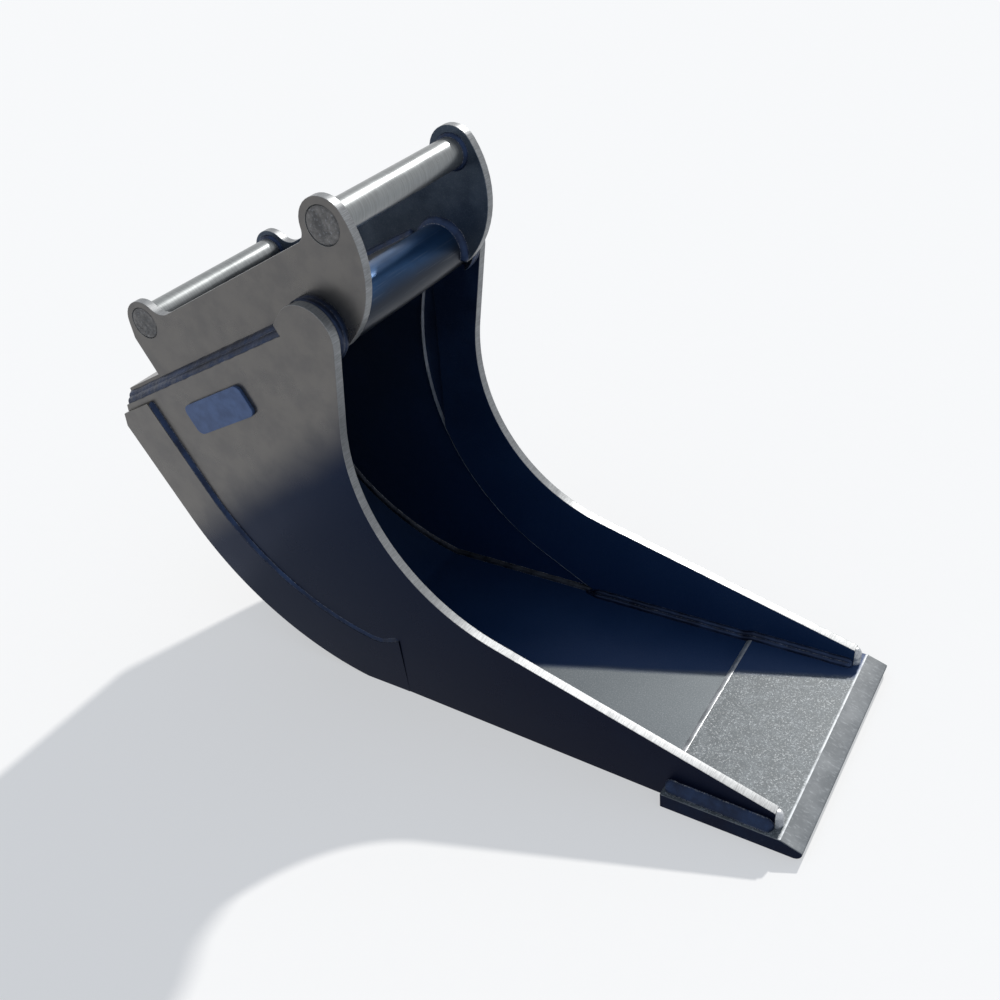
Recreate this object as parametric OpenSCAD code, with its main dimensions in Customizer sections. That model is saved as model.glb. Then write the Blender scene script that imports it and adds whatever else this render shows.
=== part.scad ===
// Narrow cable trenching bucket for a compact excavator, welded from plate.
// The bucket stands on its flat bottom: X points to the cutting edge, Y to the left, Z up.
// "Hitch" coordinates start at the front pin: x forward along the line of the two pins, z square to it.
// "Ground" coordinates start below the front pin on the floor: X forward, Z up.

/* [Hitch] */
// Distance between the front and the rear pin
pin_spacing = 430; // [420:1:440]
// Diameter of both hitch pins
pin_d = 45; // [40:1:50]
// Clear width between the two ears
ear_gap = 273; // [265:1:290]
// Thickness of an ear plate
ear_t = 14; // [12:1:16]
// Radius of the ear round the front pin
front_boss_r = 37.3; // [34:0.1:40]
// Radius of the ear round the rear pin
rear_boss_r = 34; // [32:0.5:38]
// Drop of the ear's straight top edge below the pins
ear_saddle = 4; // [0:0.5:10]
// Fillet between the straight top edge and the front boss
front_saddle_r = 20; // [12:1:28]
// Fillet between the straight top edge and the rear boss
rear_saddle_r = 30; // [20:1:40]
// Radius of the ear's rounded front
ear_front_r = 143; // [135:1:150]
// Height of the pins above the top plate
pin_over_plate = 75; // [72:1:80]
// Length of the ear's foot behind the rear pin
ear_heel = 42; // [36:1:46]

/* [Torque tube] */
// Outer diameter of the torque tube
tube_d = 76.1; // [70:0.1:80]
// Wall of the torque tube
tube_wall = 8; // [5:0.5:12]
// Distance of the tube behind the front pin
tube_back = 98; // [94:1:102]
// Drop of the tube below the front pin
tube_drop = 111; // [108:1:114]

/* [Top plate] */
// Thickness of the top plate
top_plate_t = 20; // [16:1:22]
// Distance of the top plate's rear edge behind the front pin
top_plate_back = 560; // [555:1:564]

/* [Bowl] */
// Angle of the pin line when the bucket stands on its flat bottom
hitch_tilt = 27; // [25:0.5:29]
// Distance from the front pin forward to the tip of the cutting edge
reach = 657; // [640:1:690]
// Outer radius of the rolled heel
heel_r = 424; // [418:1:430]
// Distance of the heel's centre behind the front pin
heel_back = 164; // [158:1:170]
// Drop of the heel's centre below the front pin
heel_drop = 303; // [296:1:310]
// Angle at which the heel meets the flat bottom
heel_kink = 8.3; // [6:0.1:10]
// Drop of the fold at the top of the back, below the front pin
fold_drop = 124; // [118:1:130]
// Forward lean of the lip above that fold
lip_run = 20; // [14:1:24]
// Thickness of the rolled shell
shell_t = 15; // [10:0.5:16]
// Thickness of the flat floor between the heel and the cutting edge
floor_t = 21; // [15:0.5:21.5]

/* [Side plates] */
// Half the width between the side cutters at the front pin's height
half_gap = 172.65; // [170:0.05:176]
// Lean of each side plate
flare = 2.18; // [2:0.01:2.4]
// Direction in which the side plates open, above horizontal
flare_dir = 54.6; // [45:0.1:65]
// Thickness of a side plate
side_t = 8; // [6:0.5:10]
// Thickness of a side cutter
cutter_t = 7; // [5:0.5:9]
// Radius of the nose that covers the tube's end
nose_r = 47; // [44:0.5:50]
// Angle of the straight edge below the nose, below horizontal
neck_angle = 53.5; // [50:0.5:57]
// Length of the straight edge below the nose
neck_run = 128.5; // [120:0.5:136]
// Radius of the concave front edge
throat_r = 281; // [270:1:292]
// Step from the top edge up to the nose
nose_step = 17; // [12:1:22]
// Distance of that step behind the front pin
nose_step_back = 140; // [136:1:144]
// Radius of the side cutter's rear edge, between its two straight ends
seam_r = 400; // [394:1:406]
// Distance of the corner where those straight ends would meet, behind the throat's centre
seam_shift_x = 454.3; // [448:0.1:460]
// Drop of that corner below the throat's centre
seam_shift_z = 205.8; // [200:0.1:212]
// Distance of the rear edge's upper end behind the front pin
seam_top_back = 136; // [130:1:140]
// Place where the side cutter's rear edge meets the floor, ahead of the front pin
seam_foot = 186; // [175:1:205]
// Height of the side plate's front end above the cutting edge
front_end_h = 27; // [20:1:34]

/* [Cutting edge] */
// Width of the cutting edge
edge_w = 390; // [380:1:410]
// Depth of the cutting edge
edge_depth = 200; // [180:1:220]
// Thickness of the cutting edge
edge_t = 25; // [22:1:28]
// Depth of the bevel at the tip
edge_bevel = 30; // [20:1:36]
// Height of the blunt tip
tip_h = 15; // [13:1:18]
// Radius under the tip
tip_r = 13; // [8:1:13]
// Bare edge in front of the side plates
edge_bare = 43; // [36:1:50]

/* [Heel strips] */
// Thickness of a heel strip at its top rear corner
strip_t = 8; // [6:0.5:10]
// Thickness of a heel strip at its tail
strip_tail_t = 1; // [0.6:0.1:2]
// Drop of a heel strip's top edge below the front pin
strip_drop = 105; // [100:1:112]
// Distance of a heel strip's front edge behind the front pin
strip_back = 502; // [494:1:510]
// Drop at which that straight edge turns into the curve
strip_turn_drop = 269; // [260:1:280]
// Radius of a heel strip's curved edge
strip_r = 380; // [372:1:388]
// Angle of that curve
strip_sweep = 54; // [48:1:58]
// Length of the tail's level end
strip_tail = 42; // [36:1:48]

/* [Blank tag] */
// Length of the blank tag plate on the right side
tag_w = 148; // [110:1:170]
// Height of the tag plate
tag_h = 50; // [40:1:60]
// Thickness of the tag plate
tag_t = 6; // [4:0.5:8]
// Corner radius of the tag plate
tag_r = 12; // [4:1:18]
// Distance of the tag's centre behind the front pin
tag_back = 351; // [320:1:370]
// Drop of the tag's centre below the front pin
tag_drop = 156; // [150:1:180]

/* [Welds] */
// Leg of the corner welds behind the side cutters
thin_leg = 7; // [5:0.5:9]
// Leg of the corner welds beside the side cutters
fat_leg = 11; // [9:0.5:14]
// Leg of the side cutters' seam welds
seam_leg = 5; // [3:0.5:6]
// Leg of the welds on top of the cutting edge, outside
edge_leg = 14; // [10:0.5:15]
// Leg of the welds along the heel strips
strip_leg = 7; // [5:0.5:8]
// Leg of the welds along the ears' feet
foot_leg = 8; // [5:0.5:10]
// Height of the bare plate edge above the top welds
band_reveal = 5; // [3:0.5:7]
// Width of the ring welds on the ears
ring_leg = 9; // [6:0.5:10]
// Width of the ring welds round the hitch pins
pin_ring_leg = 5; // [4:0.5:7]
// Diameter of the plug welds over the front pin's ends
front_plug_d = 53; // [50:0.5:60]
// Diameter of the plug welds over the rear pin's ends
rear_plug_d = 49; // [47:0.5:56]
// Depth of the plug welds
plug_depth = 4; // [3:0.5:6]
// Rise of the weld over the fold behind the top plate
rear_weld_rise = 4; // [2:0.5:6]
// Run of the weld between the floor and the cutting edge
floor_weld_run = 14; // [8:1:18]
// Radius of the weld on the front end of a side plate
front_weld_r = 9; // [6:0.5:10]

/* [Hidden] */

$fn = 96;

// Overrun of every cut past the faces it goes through
cut = 1;
// Reach of a half space that stands for a leaning plane
far = 4 * reach;
// Steps along each kind of arc
long_arc_steps = 36;
short_arc_steps = 14;

steel_grey = [0.44, 0.44, 0.43];
steel_blue = [0.16, 0.22, 0.34];
steel_navy = [0.06, 0.09, 0.17];
weld_blue = [0.24, 0.29, 0.40];
bright_steel = [0.72, 0.74, 0.76];
worn_steel = [0.52, 0.55, 0.57];

ear_out = ear_gap / 2 + ear_t;
plate_top = -pin_over_plate;
plate_under = plate_top - top_plate_t;
tube_r = tube_d / 2;
pin_r = pin_d / 2;
back_x = -(heel_back + heel_r);
lip_x = back_x + lip_run;

// Height of the front pin above the floor, which leaves the heel's kink on the floor
heel_centre_up = heel_r * cos(heel_kink);
pin_h = heel_centre_up + heel_back * sin(hitch_tilt) + heel_drop * cos(hitch_tilt);

// A hitch point in ground coordinates
function ground(p) = [
  p.x * cos(hitch_tilt) - p.y * sin(hitch_tilt),
  p.x * sin(hitch_tilt) + p.y * cos(hitch_tilt) + pin_h
];
// A ground point in hitch coordinates
function hitch(p) = [
  p.x * cos(hitch_tilt) + (p.y - pin_h) * sin(hitch_tilt),
  (p.y - pin_h) * cos(hitch_tilt) - p.x * sin(hitch_tilt)
];
function grounded(points) = [for (p = points) ground(p)];
function arc(c, r, a0, a1, steps) = [
  for (i = [0:steps]) let (a = a0 + (a1 - a0) * i / steps) c + r * [cos(a), sin(a)]
];
// Angle, seen from the centre c, of the point where a line from q touches the circle
function touch_angle(c, r, q, turn) =
  atan2(q.y - c.y, q.x - c.x) + turn * acos(r / norm(q - c));

// The whole bucket is centred over its own length
origin_x = (ground([back_x, -fold_drop]).x + reach) / 2;

edge_back = reach - edge_depth;
front_end = reach - edge_bare;

tube_c = [-tube_back, -tube_drop];
nose_out = 90 - neck_angle;
neck_dir = [-cos(neck_angle), -sin(neck_angle)];
neck_normal = [sin(neck_angle), -cos(neck_angle)];
throat_c = tube_c + nose_r * neck_normal + neck_run * neck_dir + throat_r * neck_normal;
throat_g = ground(throat_c);
nose_step_top = [-nose_step_back, plate_under + nose_step];
front_top = [front_end, edge_t + front_end_h];
nose_start = touch_angle(tube_c, nose_r, nose_step_top, -1);
throat_start = 180 - nose_out + hitch_tilt;
throat_end = touch_angle(throat_g, throat_r, front_top, -1) + 360;
heel_g = ground([-heel_back, -heel_drop]);
heel_start = 180 + hitch_tilt;
heel_end = 270 - heel_kink;
heel_foot = heel_g.x - heel_r * sin(heel_kink);

// The front edge shared by a side plate and its side cutter, from the nose down to the front end
nose_edge = grounded(concat(
  [nose_step_top],
  arc(tube_c, nose_r, nose_start, -nose_out, short_arc_steps)
));
throat_edge = arc(throat_g, throat_r, throat_start, throat_end, long_arc_steps);
front_edge = concat(nose_edge, throat_edge, [front_top]);

// The outside of the heel from the flat bottom up to the top plate
heel_edge = concat(
  arc(heel_g, heel_r, heel_end, heel_start, long_arc_steps),
  grounded([[back_x, -fold_drop], [lip_x, plate_under]])
);
// The inside of the shell, which comes down to the flat floor's upper face
inner_r = heel_r - shell_t;
inner_end = 180 + asin((heel_g.y - floor_t) / inner_r);
inner_foot = heel_g.x + inner_r * cos(inner_end);
lip_angle = atan2(lip_run, fold_drop + plate_under);
fold_inner = [back_x + shell_t, -fold_drop - shell_t * tan(lip_angle / 2)];
lip_inner = [lip_x + shell_t / cos(lip_angle), plate_under];
back_inner = grounded([fold_inner, lip_inner]);
heel_inner = arc(heel_g, inner_r, inner_end, heel_start, long_arc_steps);

// The side cutter's rear edge: two straight ends, with one round stretch between them
seam_foot_p = [seam_foot, floor_t];
seam_top_p = ground([-seam_top_back, plate_under]);
seam_corner = throat_g - [seam_shift_x, seam_shift_z];
seam_foot_dir = (seam_foot_p - seam_corner) / norm(seam_foot_p - seam_corner);
seam_top_dir = (seam_top_p - seam_corner) / norm(seam_top_p - seam_corner);
seam_turn = 90 - acos(seam_foot_dir * seam_top_dir) / 2;
seam_mid_dir = (seam_foot_dir + seam_top_dir) / norm(seam_foot_dir + seam_top_dir);
seam_mid = atan2(-seam_mid_dir.y, -seam_mid_dir.x);
seam_c = seam_corner + seam_r / cos(seam_turn) * seam_mid_dir;
seam_arc = arc(seam_c, seam_r, seam_mid + seam_turn, seam_mid - seam_turn, long_arc_steps);
seam_line = concat([seam_foot_p], seam_arc, [seam_top_p]);
// The place on the seam's straight foot at some height above the floor
seam_foot_slope = (seam_arc[0].x - seam_foot) / (seam_arc[0].y - floor_t);
function seam_point(up) = seam_foot_p + up * [seam_foot_slope, 1];

// The heel strip's front edge, from its top down to the end of its tail
strip_turn = [-strip_back + strip_r, -strip_turn_drop];
strip_curve = arc(strip_turn, strip_r, 180, 180 + strip_sweep, short_arc_steps);
strip_knee = strip_curve[short_arc_steps];
// The tail bends from the curve's direction to level along one round stretch
tail_r = strip_tail / tan((90 - strip_sweep) / 2) / 2;
tail_c = strip_knee + tail_r * [cos(strip_sweep), sin(strip_sweep)];
tail_arc = arc(tail_c, tail_r, 180 + strip_sweep, 270, short_arc_steps);
strip_end = tail_arc[short_arc_steps] + [strip_tail / 2, 0];
strip_edge = concat([[-strip_back, -strip_drop]], strip_curve,
  [for (i = [1:short_arc_steps]) tail_arc[i]], [strip_end]);
// The strip follows the heel and the flat bottom to the place straight below its tail's end
strip_end_g = ground(strip_end);
strip_top_x = back_x + lip_run * max(0, fold_drop - strip_drop) / (fold_drop + plate_under);
// The strip thins from its top rear corner to its tail
strip_thin_run = norm([-strip_back, -strip_drop] - strip_end);
strip_dir = atan2(-strip_drop - strip_end.y, -strip_back - strip_end.x);
strip_lean = atan((strip_t - strip_tail_t) / strip_thin_run);

// Half the bucket's width at a ground point, on the plane that lies off outside the side cutters
function side_y(p, off) =
  half_gap + tan(flare) * (cos(flare_dir) * p.x + sin(flare_dir) * (p.y - pin_h)) + off / cos(flare);
side_out = cutter_t + side_t;

// Places that a profile drawn in ground coordinates takes across the bucket
module centred() translate([-origin_x, 0, 0]) children();
module across(half) {
  translate([0, half, 0]) rotate([90, 0, 0]) linear_extrude(2 * half) children();
}
module mirrored(side) {
  if (side > 0) children();
  else mirror([0, 1, 0]) children();
}
module hitch_frame() translate([0, 0, pin_h]) rotate([0, -hitch_tilt, 0]) children();
// A round piece along a line across the bucket, through a hitch point
module hitch_rod(p, r, y0, y1) {
  hitch_frame() translate([p.x, y1, p.y]) rotate([90, 0, 0]) cylinder(h = y1 - y0, r = r);
}
module hitch_cone(p, r0, r1, y0, y1) {
  hitch_frame() translate([p.x, y0, p.y]) rotate([-90, 0, 0]) cylinder(h = y1 - y0, r1 = r0, r2 = r1);
}
// A slab that lies between two distances outside the left side cutter's inner face
module side_slab(inner, outer) {
  translate([0, half_gap, pin_h]) rotate(a = flare, v = [-sin(flare_dir), 0, cos(flare_dir)])
    translate([-far, inner, -far]) cube([2 * far, outer - inner, 2 * far]);
}
// Everything between the two leaning planes
module between_sides(off) {
  intersection() {
    side_slab(-far, off);
    mirror([0, 1, 0]) side_slab(-far, off);
  }
}
// A skin through a row of sections with equally many points
module loft(sections) {
  n = len(sections[0]);
  last = len(sections) - 1;
  polyhedron(
    points = [for (s = sections) for (p = s) p],
    faces = concat(
      [[for (j = [0:n - 1]) j]],
      [for (i = [0:last - 1]) for (j = [0:n - 1]) let (k = (j + 1) % n)
        each [
          [i * n + k, i * n + j, (i + 1) * n + j],
          [i * n + k, (i + 1) * n + j, (i + 1) * n + k]
        ]],
      [[for (j = [n - 1:-1:0]) last * n + j]]
    ),
    convexity = 4
  );
}
// The direction square to a path at its point i
function path_dir(path, i) =
  let (a = path[max(i - 1, 0)], b = path[min(i + 1, len(path) - 1)]) (b - a) / norm(b - a);
function path_normal(path, i) = let (d = path_dir(path, i)) [-d.y, d.x];
// Sections of a fillet weld: along the plane at off, one leg up the plane and one leg along Y
function fillet(path, off, leg, y_leg, up) = [
  for (i = [0:len(path) - 1])
    let (
      p = path[i],
      q = p + up * leg * path_normal(path, i),
      m = p + up * crown_share * leg * path_normal(path, i),
      y0 = side_y(p, off)
    ) [
      [p.x, y0, p.y],
      [q.x, side_y(q, off), q.y],
      [m.x, side_y(m, off) + crown_share * y_leg, m.y],
      [p.x, y0 + y_leg, p.y]
    ]
];
// How far the crown of a fillet weld stands from its root, as a share of its leg
crown_share = 0.6;

module side_outline() {
  polygon(concat(
    front_edge,
    [[front_end, edge_t], [edge_back, edge_t], [edge_back, 0]],
    heel_edge,
    [ground([-nose_step_back, plate_under])]
  ));
}

module cutter_outline() {
  polygon(concat(
    front_edge,
    [[front_end, edge_t], [edge_back, edge_t], [edge_back, floor_t], [inner_foot, floor_t]],
    [ground([-nose_step_back, plate_under])]
  ));
}

// Everything ahead of the side cutter's rear edge
module ahead_of_seam() {
  polygon(concat(
    [[seam_foot, -cut]],
    seam_line,
    [[0, pin_h], [2 * reach, pin_h], [2 * reach, -cut]]
  ));
}

module side_plate(side) {
  color(steel_blue) centred() mirrored(side) intersection() {
    across(far) side_outline();
    side_slab(cutter_t, side_out);
  }
}

module side_cutter(side) {
  color(steel_navy) centred() mirrored(side) intersection() {
    across(far) cutter_outline();
    across(far) ahead_of_seam();
    side_slab(0, cutter_t);
  }
}

module strip_outline() {
  polygon(concat(
    grounded(strip_edge),
    [[strip_end_g.x, 0]],
    arc(heel_g, heel_r, heel_end, heel_start, long_arc_steps),
    grounded([[back_x, -fold_drop], [strip_top_x, -strip_drop]])
  ));
}

module heel_strip(side) {
  tail = ground(strip_end);
  color(steel_grey) centred() mirrored(side) intersection() {
    across(far) strip_outline();
    side_slab(side_out, far);
    translate([tail.x, side_y(tail, side_out + strip_tail_t), tail.y])
      rotate(a = flare, v = [-sin(flare_dir), 0, cos(flare_dir)])
      rotate(a = strip_lean, v = [-sin(strip_dir + hitch_tilt), 0, cos(strip_dir + hitch_tilt)])
      translate([-far, -far, -far]) cube([2 * far, far, 2 * far]);
  }
}

module shell_plate() {
  color(steel_navy) centred() intersection() {
    across(far) polygon(concat(
      [[edge_back, floor_t], [edge_back, 0]],
      heel_edge,
      [for (i = [1:-1:0]) back_inner[i]],
      [for (i = [long_arc_steps:-1:0]) heel_inner[i]]
    ));
    between_sides(cutter_t);
  }
}

module cutting_edge() {
  tip_arc = arc([reach - tip_r, tip_r], tip_r, 0, -90, short_arc_steps);
  color(worn_steel) centred() across(edge_w / 2) polygon(concat(
    [[edge_back, 0], [edge_back, edge_t], [reach - edge_bevel, edge_t], [reach, tip_h]],
    tip_arc
  ));
}

// The top plate's front edge touches the tube with its lower corner
plate_front = -tube_back - sqrt(pow(tube_r, 2) - pow(plate_under + tube_drop, 2));

module top_plate() {
  color(steel_blue) centred() hitch_frame() across(ear_out) polygon([
    [-top_plate_back, plate_top], [lip_x, plate_under],
    [plate_front, plate_under], [plate_front, plate_top]
  ]);
}

module torque_tube() {
  color(steel_blue) centred() intersection() {
    difference() {
      hitch_rod(tube_c, tube_r, -half_gap - nose_r, half_gap + nose_r);
      hitch_rod(tube_c, tube_r - tube_wall, -half_gap - nose_r - cut, half_gap + nose_r + cut);
    }
    between_sides(0);
  }
}

// The ear's straight top edge runs into each boss along a hollow fillet
function saddle_run(boss_r, r) = sqrt(pow(boss_r + r, 2) - pow(r - ear_saddle, 2));
function saddle_tilt(boss_r, r) = asin((r - ear_saddle) / (boss_r + r));

// The ear's hook ends where its rounded front comes round below the tube
hook_share = 0.45;
// Drop of the rounded front's centre, as a share of the pin's height above the tube
nose_drop_share = 0.22;
// Drop of the ear's rear corner, as a share of the foot's overhang past the rear boss
heel_step_share = 1.5;

// The ear's rounded front, about a centre behind the front pin, down to the end of the hook
nose_centre_z = -nose_drop_share * (pin_over_plate - tube_r);
nose_gap = ear_front_r - front_boss_r;
nose_turn = asin(nose_centre_z / nose_gap);
nose_centre = [-nose_gap * cos(nose_turn), nose_centre_z];
hook_x = -tube_back + hook_share * tube_r + hook_share * pin_r;
hook_turn = -acos((hook_x - nose_centre.x) / ear_front_r);
hook_end = nose_centre + ear_front_r * [cos(hook_turn), sin(hook_turn)];

module ear_outline() {
  rear_c = [-pin_spacing, 0];
  heel_x = -pin_spacing - ear_heel;
  heel_top = [heel_x, -heel_step_share * (ear_heel - rear_boss_r)];
  rear_run = saddle_run(rear_boss_r, rear_saddle_r);
  rear_tilt = saddle_tilt(rear_boss_r, rear_saddle_r);
  rear_saddle_c = [-pin_spacing + rear_run, rear_saddle_r - ear_saddle];
  front_run = saddle_run(front_boss_r, front_saddle_r);
  front_tilt = saddle_tilt(front_boss_r, front_saddle_r);
  front_saddle_c = [-front_run, front_saddle_r - ear_saddle];
  difference() {
    polygon(concat(
      [[heel_x, plate_top], heel_top],
      arc(rear_c, rear_boss_r, touch_angle(rear_c, rear_boss_r, heel_top, -1) + 360, rear_tilt,
        short_arc_steps),
      arc(rear_saddle_c, rear_saddle_r, 180 + rear_tilt, 270, short_arc_steps),
      arc(front_saddle_c, front_saddle_r, 270, 360 - front_tilt, short_arc_steps),
      arc([0, 0], front_boss_r, 180 - front_tilt, -nose_turn, short_arc_steps),
      arc(nose_centre, ear_front_r, -nose_turn, hook_turn, short_arc_steps),
      [tube_c, [-tube_back, plate_top]]
    ));
    translate(tube_c) circle(r = tube_r);
    circle(r = pin_r);
    translate(rear_c) circle(r = pin_r);
  }
}

module ear(side) {
  color(steel_grey) centred() mirrored(side) difference() {
    hitch_frame() translate([0, ear_out, 0]) rotate([90, 0, 0]) linear_extrude(ear_t) ear_outline();
    hitch_rod([0, 0], front_plug_d / 2, ear_out - plug_depth, ear_out + cut);
    hitch_rod([-pin_spacing, 0], rear_plug_d / 2, ear_out - plug_depth, ear_out + cut);
  }
}

module hitch_pin(x) {
  color(bright_steel) centred() hitch_rod([x, 0], pin_r, plug_depth - ear_out, ear_out - plug_depth);
}

module plug_welds(x, d) {
  color(steel_grey) centred() for (side = [-1, 1]) mirrored(side)
    hitch_rod([x, 0], d / 2, ear_out - plug_depth, ear_out);
}

// Ring welds on the inner faces of both ears, round a rod
module inner_rings(p, r, leg) {
  color(weld_blue) centred() for (side = [-1, 1]) mirrored(side) difference() {
    hitch_cone(p, r, r + leg, ear_gap / 2 - leg, ear_gap / 2);
    hitch_rod(p, r, ear_gap / 2 - leg - cut, ear_gap / 2 + cut);
  }
}

// The tube's own rings follow the ears, from the top plate's upper face round to the hook
module tube_inner_ring_welds() {
  difference() {
    inner_rings(tube_c, tube_r, ring_leg);
    centred() hitch_frame() across(ear_out) polygon([
      [-top_plate_back, plate_top], [-tube_back, plate_top], tube_c, hook_end,
      [hook_end.x, -2 * tube_drop], [-top_plate_back, -2 * tube_drop]
    ]);
  }
}

// Welds that fill the space between each ear and the nose of its side plate
module tube_nose_welds() {
  color(weld_blue) centred() for (side = [-1, 1]) mirrored(side) intersection() {
    difference() {
      hitch_rod(tube_c, nose_r, ear_out, half_gap + nose_r);
      hitch_rod(tube_c, tube_r, ear_out - cut, half_gap + nose_r + cut);
      hitch_frame() translate([-far, -far, -far])
        cube([far + plate_front, 2 * far, far + plate_top]);
    }
    side_slab(-far, 0);
  }
}

// The groove between the top plate's front edge and the tube
module tube_seat_weld() {
  color(weld_blue) centred() difference() {
    hitch_frame() across(ear_gap / 2) polygon([
      [plate_front, plate_under], [plate_front, plate_top], [-tube_back, plate_top],
      [-tube_back, plate_under]
    ]);
    hitch_rod(tube_c, tube_r, -ear_out, ear_out);
  }
}

module ear_foot_welds() {
  color(weld_blue) centred() for (side = [-1, 1]) mirrored(side)
    hitch_frame() translate([-pin_spacing - ear_heel, ear_gap / 2, plate_top])
      rotate([90, 0, 90]) linear_extrude(plate_front + pin_spacing + ear_heel)
        polygon([[0, 0], [-foot_leg, 0], [0, foot_leg]]);
}

// The weld between the top plate's side and the side plate's top edge
module top_weld(side) {
  ends = [[-top_plate_back, plate_under], [-nose_step_back, plate_under]];
  color(weld_blue) centred() mirrored(side) loft([
    for (p = ends)
      let (
        low = ground(p),
        high = ground([p.x, plate_top - band_reveal]),
        y1 = side_y(low, side_out)
      ) [
        [low.x, ear_out, low.y], [low.x, y1, low.y],
        [(low.x + high.x) / 2, (ear_out + y1) / 2 + band_reveal / 2, (low.y + high.y) / 2],
        [high.x, ear_out, high.y]
      ]
  ]);
}

// The weld across the folded lip behind the top plate
module rear_top_weld() {
  fold = [lip_x, plate_under];
  top = fold + (1 - band_reveal / top_plate_t) * ([-top_plate_back, plate_top] - fold);
  low = [strip_top_x, -strip_drop];
  out = [-rear_weld_rise, rear_weld_rise / 2];
  color(weld_blue) centred() hitch_frame() across(ear_out)
    polygon([top, (top + fold) / 2 + out, (fold + low) / 2 + out, low, fold]);
}

module back_corner_weld(side) {
  start = seam_point(thin_leg);
  path = concat([[start.x, floor_t]], heel_inner, [back_inner[0]]);
  color(weld_blue) centred() mirrored(side)
    loft(fillet(path, cutter_t, thin_leg, -thin_leg, -1));
}

module floor_corner_weld(side) {
  color(weld_blue) centred() mirrored(side) {
    loft(fillet([seam_foot_p, [edge_back, floor_t]], 0, fat_leg, -fat_leg, 1));
    loft(fillet([[edge_back, edge_t], [front_end, edge_t]], 0, fat_leg, -fat_leg, 1));
  }
}

module cutter_seam_weld(side) {
  path = concat([seam_point(thin_leg + seam_leg)], seam_arc);
  color(weld_blue) centred() mirrored(side)
    loft(fillet(path, cutter_t, seam_leg, -seam_leg, 1));
}

module strip_weld(side) {
  path = grounded(strip_edge);
  color(weld_blue) centred() mirrored(side) loft([
    for (i = [0:len(path) - 1])
      let (
        away = min(1, norm(strip_edge[i] - strip_end) / strip_thin_run),
        height = strip_tail_t + (strip_t - strip_tail_t) * away
      ) fillet(path, side_out, strip_leg, min(height, strip_leg), 1)[i]
  ]);
}

module edge_side_weld(side) {
  color(weld_blue) centred() mirrored(side)
    loft(fillet([[edge_back, edge_t], [front_end, edge_t]], side_out, edge_leg, edge_leg, 1));
}

module front_end_welds() {
  mid = side_y([front_end, edge_t], side_out / 2);
  color(worn_steel) centred() for (side = [-1, 1]) mirrored(side) intersection() {
    translate([front_end, mid, edge_t]) union() {
      cylinder(h = front_end_h - front_weld_r, r = front_weld_r);
      translate([0, 0, front_end_h - front_weld_r]) sphere(r = front_weld_r);
    }
    translate([front_end, 0, edge_t]) cube([reach, reach, reach]);
  }
}

module floor_edge_weld() {
  half = side_y([edge_back, floor_t], 0) - fat_leg;
  color(weld_blue) centred() across(half)
    polygon([[edge_back - floor_weld_run, floor_t], [edge_back, floor_t], [edge_back, edge_t]]);
}

module blank_tag() {
  tag_g = ground([-tag_back, -tag_drop]);
  corner = [tag_w / 2 - tag_r, tag_h / 2 - tag_r];
  color(steel_blue) centred() mirrored(-1) intersection() {
    hitch_frame() translate([-tag_back, far, -tag_drop]) rotate([90, 0, 0]) linear_extrude(2 * far)
      union() {
        square([tag_w, 2 * corner.y], center = true);
        square([2 * corner.x, tag_h], center = true);
        for (sx = [-1, 1]) for (sz = [-1, 1]) translate([sx * corner.x, sz * corner.y])
          circle(r = tag_r);
      }
    side_slab(side_out, side_out + tag_t);
  }
}

shell_plate();
cutting_edge();
top_plate();
torque_tube();
side_plate(1);  // side_plate_left
side_plate(-1);  // side_plate_right
side_cutter(1);  // side_cutter_left
side_cutter(-1);  // side_cutter_right
heel_strip(1);  // heel_strip_left
heel_strip(-1);  // heel_strip_right
ear(1);  // ear_left
ear(-1);  // ear_right
hitch_pin(0);  // front_pin
hitch_pin(-pin_spacing);  // rear_pin
plug_welds(0, front_plug_d);  // front_pin_plug_welds
plug_welds(-pin_spacing, rear_plug_d);  // rear_pin_plug_welds
inner_rings([0, 0], pin_r, pin_ring_leg);  // front_pin_ring_welds
inner_rings([-pin_spacing, 0], pin_r, pin_ring_leg);  // rear_pin_ring_welds
tube_inner_ring_welds();
tube_nose_welds();
tube_seat_weld();
ear_foot_welds();
top_weld(1);  // top_weld_left
top_weld(-1);  // top_weld_right
rear_top_weld();
back_corner_weld(1);  // back_corner_weld_left
back_corner_weld(-1);  // back_corner_weld_right
floor_corner_weld(1);  // floor_corner_weld_left
floor_corner_weld(-1);  // floor_corner_weld_right
cutter_seam_weld(1);  // cutter_seam_weld_left
cutter_seam_weld(-1);  // cutter_seam_weld_right
strip_weld(1);  // strip_weld_left
strip_weld(-1);  // strip_weld_right
edge_side_weld(1);  // edge_side_weld_left
edge_side_weld(-1);  // edge_side_weld_right
front_end_welds();
floor_edge_weld();
blank_tag();
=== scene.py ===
"""Looks of a narrow cable trenching bucket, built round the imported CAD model.

Sizes are in millimetres, unless a comment says otherwise, and in metres once a mesh is made.
A "hitch" point is (forward, up) from the front pin, with x along the line of the two pins.
A "ground" point is (forward, up) from the place on the floor below the front pin.
"""

import math

import bmesh
import bpy
from bpy.props import FloatProperty, FloatVectorProperty, IntProperty, PointerProperty
from mathutils import Matrix, Vector, noise


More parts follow.
